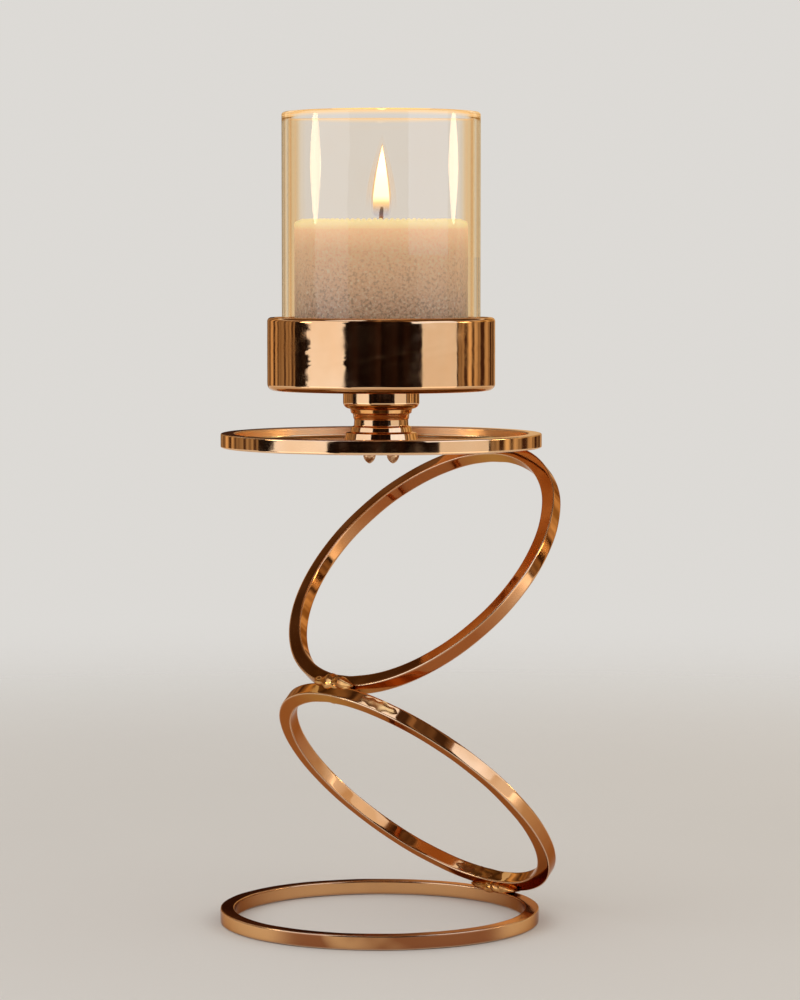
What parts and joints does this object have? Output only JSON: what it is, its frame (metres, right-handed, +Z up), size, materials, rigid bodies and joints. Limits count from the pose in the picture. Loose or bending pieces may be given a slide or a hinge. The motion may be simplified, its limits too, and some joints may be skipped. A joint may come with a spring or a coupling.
{
  "type": "hurricane candle holder",
  "caption": "Hurricane candle holder: leaning metal rings stacked into a stand carry a polished cup with a clear glass chimney around a pillar candle.",
  "frame": {"origin": "middle of the holder's outline seen from above, at the height of the base ring's underside", "axes": "+Z up, along the chimney's axis; the rings lean out towards 40 degrees from +X to +Y, and -Y faces the camera"},
  "size_m": [0.1376, 0.1342, 0.3272],
  "materials": {
    "rose_gold": "polished rose gold plate",
    "steel": "bright zinc plated steel",
    "glass": "clear, fire polished at the rims",
    "wax": "granular ivory wax",
    "cotton": "charred braided cotton"
  },
  "bodies": {
    "stand": {"base_ring": "rose_gold", "lower_ring": "rose_gold", "upper_ring": "rose_gold", "top_ring": "rose_gold", "base_bead_inner": "rose_gold", "base_bead_outer": "rose_gold", "middle_bead_front": "rose_gold", "middle_bead_rear": "rose_gold", "top_bead_inner": "rose_gold", "top_bead_outer": "rose_gold", "top_plate": "rose_gold", "plate_braze": "rose_gold", "neck_stud_left": "steel", "neck_stud_right": "steel", "neck_washer_left": "rose_gold", "neck_washer_right": "rose_gold", "dome_nut_left": "rose_gold", "dome_nut_right": "rose_gold", "neck": "rose_gold", "cup": "rose_gold", "cup_screw": "steel"},
    "glass": {"glass_chimney": "glass"},
    "candle": {"candle": "wax", "wick": "cotton", "wick_sustainer": "steel"}
  },
  "joints": [
    {"name": "glass_lift", "type": "slide", "parent": "stand", "child": "glass", "axis": [0, 0, 1], "range_m": [0, 0.12]},
    {"name": "candle_lift", "type": "slide", "parent": "stand", "child": "candle", "axis": [0, 0, 1], "range_m": [0, 0.12]}
  ]
}
